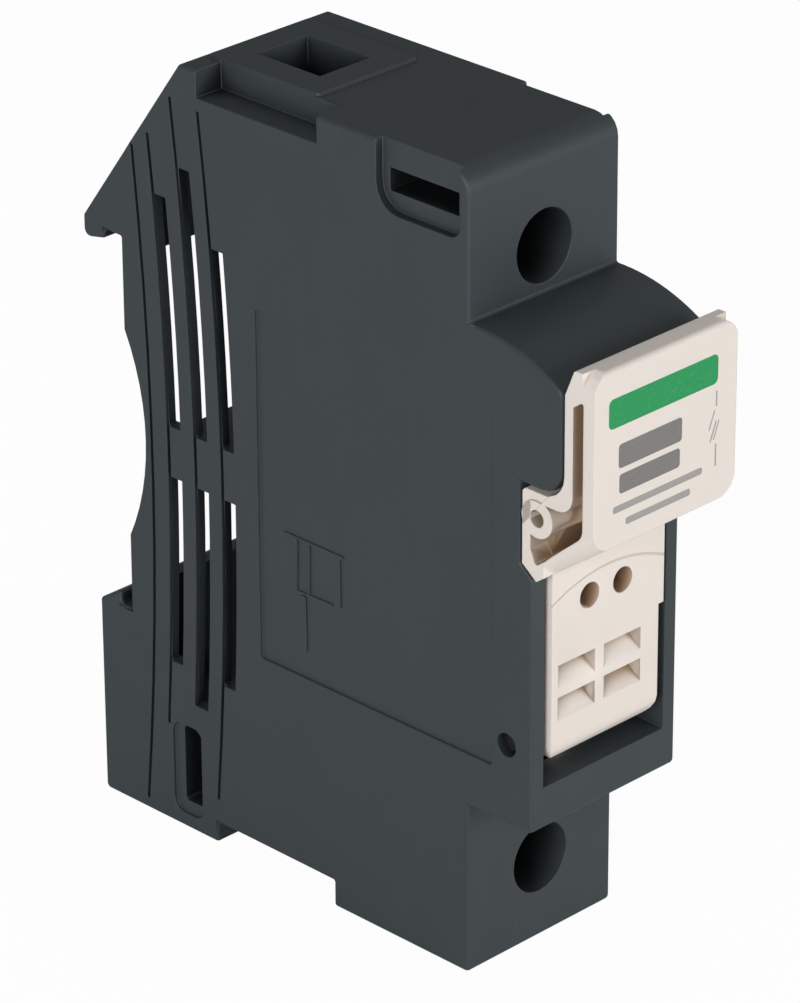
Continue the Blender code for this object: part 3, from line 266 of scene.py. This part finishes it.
# One maker for the bare and plated metals: tone, wear, and the stretch of the drawn lines
metalFinishes = {
    "copperStrip": {
        "colour": (0.72, 0.38, 0.25),
        "dull": (0.42, 0.20, 0.13),
        "rough": 0.30,
        "stretch": (1.0, 1.0, 0.08),
    },
    "silverPlate": {
        "colour": (0.80, 0.79, 0.76),
        "dull": (0.55, 0.53, 0.49),
        "rough": 0.22,
        "stretch": (1.0, 0.08, 1.0),
    },
    "springSteel": {
        "colour": (0.42, 0.43, 0.46),
        "dull": (0.25, 0.27, 0.33),
        "rough": 0.27,
        "stretch": (0.08, 0.08, 1.0),
    },
    "zincSteel": {
        "colour": (0.62, 0.63, 0.64),
        "dull": (0.42, 0.43, 0.42),
        "rough": 0.33,
        "stretch": (1.0, 0.08, 0.08),
    },
    "nickelPlate": {
        "colour": (0.72, 0.70, 0.66),
        "dull": (0.50, 0.48, 0.44),
        "rough": 0.20,
        "stretch": (1.0, 1.0, 0.06),
    },
    "darkPin": {
        "colour": (0.04, 0.04, 0.045),
        "dull": (0.025, 0.025, 0.03),
        "rough": 0.42,
        "stretch": (0.08, 1.0, 1.0),
    },
}
metalWear = {"lineMm": 0.12, "lineDepthMm": 0.006, "cloudMm": 2.6, "spotMm": 0.5}


def metal(name):
    values = metalFinishes[name]
    made = Surface(name)
    lines = made.noise(metalWear["lineMm"], 2.0, 0.6, values["stretch"])
    cloud = made.noise(metalWear["cloudMm"], 4.0, 0.6)
    spots = made.noise(metalWear["spotMm"], 3.0, 0.7).ramp(0.60, 0.74) * 0.5
    dulled = cloud.ramp(0.35, 0.75) * 0.5 + spots
    colour = made.mix(dulled, shade(values["colour"]), shade(values["dull"]))
    roughness = values["rough"] + lines * 0.10 + spots * 0.20
    normal = made.bump(lines, metalWear["lineDepthMm"], 0.5)
    return made.finish(Base_Color=colour, Metallic=1.0, Roughness=roughness, Normal=normal)


screwFinish = {
    "colour": (0.62, 0.63, 0.64),
    "stained": (0.45, 0.44, 0.38),
    "roughness": 0.28,
    "axisHeightsMm": (26.5, -29.8),
    "ringMm": 0.16,
    "ringDepthMm": 0.008,
    "wobbleMm": 0.4,
    "stainMm": 1.4,
}


def turnedZinc():
    # lathe rings round the axis of the nearer screw
    values = screwFinish
    made = Surface("turnedZinc")
    upper, lower = ((made.z - height * mm).size() for height in values["axisHeightsMm"])
    nearest = upper.least(lower)
    distance = (made.x * made.x + nearest * nearest) ** 0.5
    rings = (distance * (2 * math.pi / (values["ringMm"] * mm))).sine() * 0.5 + 0.5
    wobble = made.noise(values["wobbleMm"], 3.0, 0.6)
    stain = made.noise(values["stainMm"], 4.0, 0.65).ramp(0.5, 0.75)
    colour = made.mix(stain * 0.6, shade(values["colour"]), shade(values["stained"]))
    roughness = values["roughness"] + rings * 0.06 + wobble * 0.12
    normal = made.bump(rings + wobble * 0.6, values["ringDepthMm"], 0.5)
    return made.finish(Base_Color=colour, Metallic=1.0, Roughness=roughness, Normal=normal)


tubeFinish = {
    "colour": (0.86, 0.85, 0.81),
    "clouded": (0.78, 0.76, 0.70),
    "speck": (0.55, 0.52, 0.46),
    "roughness": 0.42,
    "cloudMm": 4.0,
    "speckMm": 0.25,
    "poreMm": 0.3,
    "poreDepthMm": 0.01,
}


def linkCeramic():
    values = tubeFinish
    made = Surface("linkCeramic")
    speck = made.noise(values["speckMm"], 3.0, 0.7).ramp(0.62, 0.72)
    cloud = made.noise(values["cloudMm"], 3.0, 0.5)
    colour = made.mix(cloud * 0.5, shade(values["colour"]), shade(values["clouded"]))
    colour = made.mix(speck * 0.35, colour, shade(values["speck"]))
    normal = made.bump(made.noise(values["poreMm"], 4.0, 0.6), values["poreDepthMm"], 0.5)
    roughness = values["roughness"] + cloud * 0.15
    return made.finish(Base_Color=colour, Roughness=roughness, Normal=normal)


inkFinish = {
    "green": (0.004, 0.30, 0.085),
    "grey": (0.20, 0.19, 0.185),
    "pale": (0.36, 0.34, 0.33),
    "under": (0.78, 0.72, 0.66),
    "roughness": 0.45,
    "pinholeMm": 0.10,
    "toneMm": 1.5,
}


def printInk(colourName):
    # pad printing: even, a little matt, with tiny pinholes
    values = inkFinish
    made = Surface(colourName + "Ink")
    holes = made.noise(values["pinholeMm"], 2.0, 0.6).ramp(0.66, 0.72)
    tone = made.noise(values["toneMm"], 3.0, 0.5)
    inked = made.mix(tone * 0.4, shade(values[colourName]), shade(values[colourName], 0.85))
    colour = made.mix(holes * 0.5, inked, shade(values["under"]))
    return made.finish(Base_Color=colour, Roughness=values["roughness"] + tone * 0.1)


surfaces = {
    "housing": housingPlastic(),
    "drawer": drawerPlastic(),
    "copper": metal("copperStrip"),
    "silver": metal("silverPlate"),
    "spring": metal("springSteel"),
    "zinc": metal("zincSteel"),
    "turned": turnedZinc(),
    "nickel": metal("nickelPlate"),
    "pin": metal("darkPin"),
    "ceramic": linkCeramic(),
    "green": printInk("green"),
    "grey": printInk("grey"),
    "pale": printInk("pale"),
}
print("materials made,", len(surfaces))


def place(mesh, name, body, surface, slot):
    piece = bpy.data.objects.new(name, mesh)
    bpy.context.scene.collection.objects.link(piece)
    mesh.materials.clear()
    mesh.materials.append(surfaces[surface])
    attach(piece, body)
    return piece


def meshFrom(work, name):
    mesh = bpy.data.meshes.new(name)
    work.to_mesh(mesh)
    work.free()
    return mesh


# Copies of the solids, with facets in one plane merged. The case and the lid have their edges
# eased, as a polished mould leaves them, and the other pieces keep their shape.
copying = {
    "mergeMm": 0.002,
    "flatTo": math.radians(0.4),
    "easeFrom": math.radians(40),
    "easeSteps": 2,
    "sharpFrom": math.radians(35),
    "evenWeight": 90,
}


def copySolid(name, node, body, surface, slot, easeMm=0):
    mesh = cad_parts[node].data.copy()
    work = bmesh.new()
    work.from_mesh(mesh)
    bmesh.ops.remove_doubles(work, verts=work.verts, dist=copying["mergeMm"] * mm)
    bmesh.ops.dissolve_limit(
        work, angle_limit=copying["flatTo"], verts=work.verts, edges=work.edges
    )
    work.to_mesh(mesh)
    work.free()
    mesh.shade_smooth()
    piece = place(mesh, name, body, surface, slot)
    if easeMm:
        ease = piece.modifiers.new("Ease", "BEVEL")
        ease.width = easeMm * mm
        ease.segments = copying["easeSteps"]
        ease.limit_method = "ANGLE"
        ease.angle_limit = copying["easeFrom"]
        ease.use_clamp_overlap = False
        ease.harden_normals = False
    else:
        mesh.set_sharp_from_angle(angle=copying["sharpFrom"])
    even = piece.modifiers.new("Even", "WEIGHTED_NORMAL")
    even.weight = copying["evenWeight"]
    even.keep_sharp = True
    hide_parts(node)


# Each is: node, body, surface, slot and the width of its eased edges in mm
mouldings = {
    "housingShell": ("case", "housing", "housing", "dark_plastic", 0.09),
    "sideLid": ("side_cover", "housing", "housing", "dark_plastic", 0.09),
    "drawerShell": ("drawer", "drawer", "drawer", "ivory_plastic", 0),
}
for pieceName, values in mouldings.items():
    copySolid(pieceName, *values)
print("mouldings eased,", len(mouldings))


# Metal and ceramic pieces, with their round faces shaded smooth: node, body, surface, slot
fittings = {
    "pinNear": ("hinge_pin_near", "housing", "pin", "pin_steel"),
    "pinFar": ("hinge_pin_far", "housing", "pin", "pin_steel"),
    "linkTube": ("fuse_tube", "drawer", "ceramic", "ceramic"),
    "linkCapTop": ("fuse_cap_top", "drawer", "nickel", "nickel_plate"),
    "linkCapBottom": ("fuse_cap_bottom", "drawer", "nickel", "nickel_plate"),
    "clipUpper": ("upper_clip", "housing", "silver", "silver_plate"),
    "clipLower": ("lower_clip", "housing", "silver", "silver_plate"),
    "springUpper": ("upper_clip_spring", "housing", "spring", "spring_steel"),
    "springLower": ("lower_clip_spring", "housing", "spring", "spring_steel"),
    "barUpper": ("upper_bar", "housing", "copper", "copper"),
    "barLower": ("lower_bar", "housing", "copper", "copper"),
    "rivetUpper": ("upper_clip_rivet", "housing", "copper", "copper"),
    "rivetLower": ("lower_clip_rivet", "housing", "copper", "copper"),
    "cageUpper": ("upper_cage", "upper_cage", "zinc", "zinc_steel"),
    "cageLower": ("lower_cage", "lower_cage", "zinc", "zinc_steel"),
    "screwUpper": ("upper_screw", "upper_screw", "turned", "zinc_steel"),
    "screwLower": ("lower_screw", "lower_screw", "turned", "zinc_steel"),
}
for pieceName, values in fittings.items():
    copySolid(pieceName, *values)
print("fittings shaded,", len(fittings))


# The pocket behind the lever opens its upper back corner and cuts into its boss. Each is made
# whole here on both sides of the web, a hair inside the faces that the solid still has there.
leverCorner = {
    "sides": {"Near": (-8.74, -0.79), "Far": (0.79, 7.99)},
    "outline": (
        (-47.15, 6.6),
        (-47.15, 9.8),
        (-47.45, 10.09),
        (-50.3, 10.09),
        (-50.3, 9.21),
        (-48.03, 9.21),
        (-48.03, 6.6),
    ),
    "bossCentre": (-48.74, 7.75),
    "bossRadii": (0.76, 1.69),
    "steps": 40,
    "mergeMm": 0.001,
}


def placeLever(name, work):
    bmesh.ops.scale(work, vec=(mm, mm, mm), verts=work.verts)
    bmesh.ops.remove_doubles(work, verts=work.verts, dist=leverCorner["mergeMm"] * mm)
    bmesh.ops.recalc_face_normals(work, faces=work.faces)
    mesh = meshFrom(work, name)
    mesh.shade_smooth()
    mesh.set_sharp_from_angle(angle=copying["sharpFrom"])
    place(mesh, name, "drawer", "drawer", "ivory_plastic")


def cornerWall(name, start, end):
    work = bmesh.new()
    section = work.faces.new([work.verts.new((start, y, z)) for y, z in leverCorner["outline"]])
    grown = bmesh.ops.extrude_face_region(work, geom=[section], use_keep_orig=True)["geom"]
    moved = [item for item in grown if isinstance(item, bmesh.types.BMVert)]
    bmesh.ops.translate(work, vec=(end - start, 0, 0), verts=moved)
    placeLever(name, work)


def bossRing(name, start, end):
    work = bmesh.new()
    y, z = leverCorner["bossCentre"]
    bore, rim = leverCorner["bossRadii"]
    corners = ((start, bore), (start, rim), (end, rim), (end, bore))
    points = [work.verts.new((x, y, z + radius)) for x, radius in corners]
    section = [work.edges.new((points[step], points[step - 1])) for step in range(4)]
    bmesh.ops.spin(
        work,
        geom=points + section,
        cent=(0, y, z),
        axis=(1, 0, 0),
        angle=2 * math.pi,
        steps=leverCorner["steps"],
        use_merge=True,
    )
    placeLever(name, work)


for side, reach in leverCorner["sides"].items():
    cornerWall("leverCorner" + side, *reach)
    bossRing("leverBoss" + side, *reach)
print("lever corner and boss made,", len(leverCorner["sides"]), "of each")


# Flat strips with rounded corners: printed fields and a switch symbol on the panel, and a
# moulded drawing of a stripped wire on the side. Each is: name, surface, start, end, width
# (mm, in the plane of its face) and how far its corners are rounded. A group's turn and
# middle put that plane on the holder.
strips = {
    "panel": {
        "body": "drawer",
        "slot": "ivory_plastic",
        "turn": Matrix(((1, 0, 0), (0, 0, -1), (0, 1, 0))),
        "middle": (0, -54.905, 0),
        "thick": 0.03,
        "pieces": (
            ("printBand", "green", (-7.1, 18.25), (5.7, 18.25), 2.6, 0.5),
            ("printBarWide", "grey", (-5.9, 14.3), (1.5, 14.3), 2.1, 0.3),
            ("printBarSlim", "grey", (-5.8, 11.85), (1.3, 11.85), 1.7, 0.3),
            ("printLineUpper", "pale", (-6.5, 9.75), (4.0, 9.75), 0.6, 0.2),
            ("printLineLower", "pale", (-5.0, 8.35), (2.6, 8.35), 0.6, 0.2),
            ("symbolTop", "pale", (5.6, 16.3), (5.6, 14.9), 0.14, 0.05),
            ("symbolBlade", "pale", (5.6, 13.6), (4.9, 11.9), 0.14, 0.05),
            ("symbolFuseLeft", "pale", (4.75, 13.0), (5.4, 14.6), 0.12, 0.04),
            ("symbolFuseRight", "pale", (5.3, 12.0), (5.95, 13.6), 0.12, 0.04),
            ("symbolFoot", "pale", (5.6, 11.6), (5.6, 9.6), 0.14, 0.05),
        ),
    },
    "side": {
        "body": "housing",
        "slot": "dark_plastic",
        "turn": Matrix(((0, 0, 1), (1, 0, 0), (0, 1, 0))),
        "middle": (-8.52, 0, 0),
        "thick": 0.22,
        "pieces": (
            ("wireTopLine", "housing", (-19.3, -3.6), (-26.5, -3.6), 0.2, 0.05),
            ("wireSleeveBack", "housing", (-20.9, -3.8), (-20.8, -8.5), 0.2, 0.05),
            ("wireSleeveFront", "housing", (-22.4, -3.8), (-22.3, -8.5), 0.2, 0.05),
            ("wireLowLine", "housing", (-20.6, -8.6), (-25.1, -8.5), 0.2, 0.05),
            ("wireCore", "housing", (-21.55, -8.8), (-21.6, -14.1), 0.75, 0.3),
            ("wireMark", "housing", (-26.0, -4.0), (-26.0, -8.4), 0.2, 0.05),
        ),
    },
}


def isUpright(edge):
    return abs((edge.verts[0].co - edge.verts[1].co).z) > 0.01


def flatStrip(group, name, surface, start, end, width, rounding):
    run = Vector(end) - Vector(start)
    work = bmesh.new()
    bmesh.ops.create_cube(work, size=1.0)
    bmesh.ops.scale(work, vec=(run.length, width, group["thick"]), verts=work.verts)
    bmesh.ops.bevel(
        work,
        geom=[edge for edge in work.edges if isUpright(edge)],
        offset=rounding,
        offset_type="OFFSET",
        segments=4,
        profile=0.5,
        affect="EDGES",
        clamp_overlap=True,
        material=-1,
    )
    turn = Matrix.Rotation(math.atan2(run.y, run.x), 4, "Z")
    centre = (Vector(start) + Vector(end)) / 2
    move = Matrix.Translation((centre.x, centre.y, 0))
    onFace = Matrix.Translation(group["middle"]) @ group["turn"].to_4x4()
    bmesh.ops.transform(work, matrix=Matrix.Scale(mm, 4) @ onFace @ move @ turn, verts=work.verts)
    bmesh.ops.recalc_face_normals(work, faces=work.faces)
    place(meshFrom(work, name), name, group["body"], surface, group["slot"])


for group in strips.values():
    for values in group["pieces"]:
        flatStrip(group, *values)
print("print and drawing placed,", sum(len(group["pieces"]) for group in strips.values()))


# Camera of the photograph, fitted to the rail recess and the module width
cameraValues = {
    "azimuth": -45.01,
    "elevation": 25.94,
    "roll": -0.32,
    "distanceMm": 473.32,
    "aimRightMm": -17.44,
    "aimUpMm": 9.25,
    "lens": 244.53,
    "sensorWidth": 36,
    "clipStart": 0.01,
}


def makeCamera():
    values = cameraValues
    turn, rise, roll = (math.radians(values[key]) for key in ("azimuth", "elevation", "roll"))
    back = Vector(
        (math.sin(turn) * math.cos(rise), -math.cos(turn) * math.cos(rise), math.sin(rise))
    )
    level = (-back).cross(Vector((0, 0, 1))).normalized()
    tilt = level.cross(-back)
    right = math.cos(roll) * level + math.sin(roll) * tilt
    up = math.cos(roll) * tilt - math.sin(roll) * level
    centre = back * values["distanceMm"] - right * values["aimRightMm"] - up * values["aimUpMm"]
    lens = bpy.data.cameras.new("photoCamera")
    lens.sensor_fit = "HORIZONTAL"
    lens.sensor_width = values["sensorWidth"]
    lens.lens = values["lens"]
    lens.clip_start = values["clipStart"]
    camera = bpy.data.objects.new("photoCamera", lens)
    axes = Matrix((right, up, back)).transposed().to_4x4()
    camera.matrix_world = Matrix.Translation(centre * mm) @ axes
    bpy.context.scene.collection.objects.link(camera)
    bpy.context.scene.camera = camera


makeCamera()
print("camera placed")


# Pale floor, white surroundings and soft lamps
studio = {
    "floorZMm": -37.6,
    "floorHalf": 3.0,
    "floorColours": ((0.93, 0.93, 0.93), (0.90, 0.90, 0.90)),
    "floorCloudMm": 60.0,
    "floorRoughness": 0.8,
    "floorPlain": 0.97,
    "skyLevel": 0.18,
    "lamps": (
        {"name": "keyLamp", "from": (-0.95, -0.45, 0.30), "size": 0.50, "watts": 7.5},
        {"name": "fillLamp", "from": (0.25, -1.0, 0.22), "size": 0.50, "watts": 4.7},
        {"name": "topLamp", "from": (0.15, 0.25, 1.0), "size": 0.70, "watts": 1.0},
    ),
}


def makeFloor():
    work = bmesh.new()
    bmesh.ops.create_grid(work, x_segments=1, y_segments=1, size=studio["floorHalf"])
    bmesh.ops.translate(work, vec=(0, 0, studio["floorZMm"] * mm), verts=work.verts)
    mesh = meshFrom(work, "floor")
    floor = bpy.data.objects.new("floor", mesh)
    bpy.context.scene.collection.objects.link(floor)
    ground = Surface("paleFloor")
    tone = ground.noise(studio["floorCloudMm"], 3.0, 0.5)
    colour = ground.mix(tone * 0.2, *(shade(colour) for colour in studio["floorColours"]))
    ground.finish(Base_Color=colour, Roughness=studio["floorRoughness"])
    # the camera sees the floor nearly plain white, and other rays see it lit
    seen = ground.add("ShaderNodeLightPath", {}, {}, "Is Camera Ray")
    white = ground.add("ShaderNodeEmission", {}, {"Color": (1, 1, 1, 1), "Strength": 1.0})
    lit = Wire(ground, ground.shader.outputs[0])
    mixed = {0: seen * studio["floorPlain"], 1: lit, 2: white}
    both = ground.add("ShaderNodeMixShader", {}, mixed)
    ground.feed(ground.tree.nodes["Material Output"].inputs["Surface"], both)
    mesh.materials.append(ground.material)


def makeSky():
    # white where the camera sees it, straight or through something, and dim for other rays
    world = bpy.data.worlds.new("whiteRoom")
    world.use_nodes = True
    bpy.context.scene.world = world
    sky = Nodes(world.node_tree)
    straight = sky.add("ShaderNodeLightPath", {}, {}, "Is Camera Ray")
    through = sky.add("ShaderNodeLightPath", {}, {}, "Is Transmission Ray")
    values = {"Value": straight.most(through), "To Min": studio["skyLevel"], "To Max": 1.0}
    level = sky.add("ShaderNodeMapRange", {}, values)
    background = sky.tree.nodes["Background"]
    sky.feed(background.inputs["Color"], (1, 1, 1, 1))
    sky.feed(background.inputs["Strength"], level)


def makeLamp(name, start, size, watts):
    light = bpy.data.lights.new(name, "AREA")
    light.size = size
    light.energy = watts
    lamp = bpy.data.objects.new(name, light)
    bpy.context.scene.collection.objects.link(lamp)
    turn = (-start).to_track_quat("-Z", "Y").to_matrix().to_4x4()
    lamp.matrix_world = Matrix.Translation(start) @ turn


makeFloor()
makeSky()
for values in studio["lamps"]:
    makeLamp(values["name"], Vector(values["from"]), values["size"], values["watts"])
bpy.context.scene.view_settings.view_transform = "Standard"
print("studio lit,", len(studio["lamps"]), "lamps")
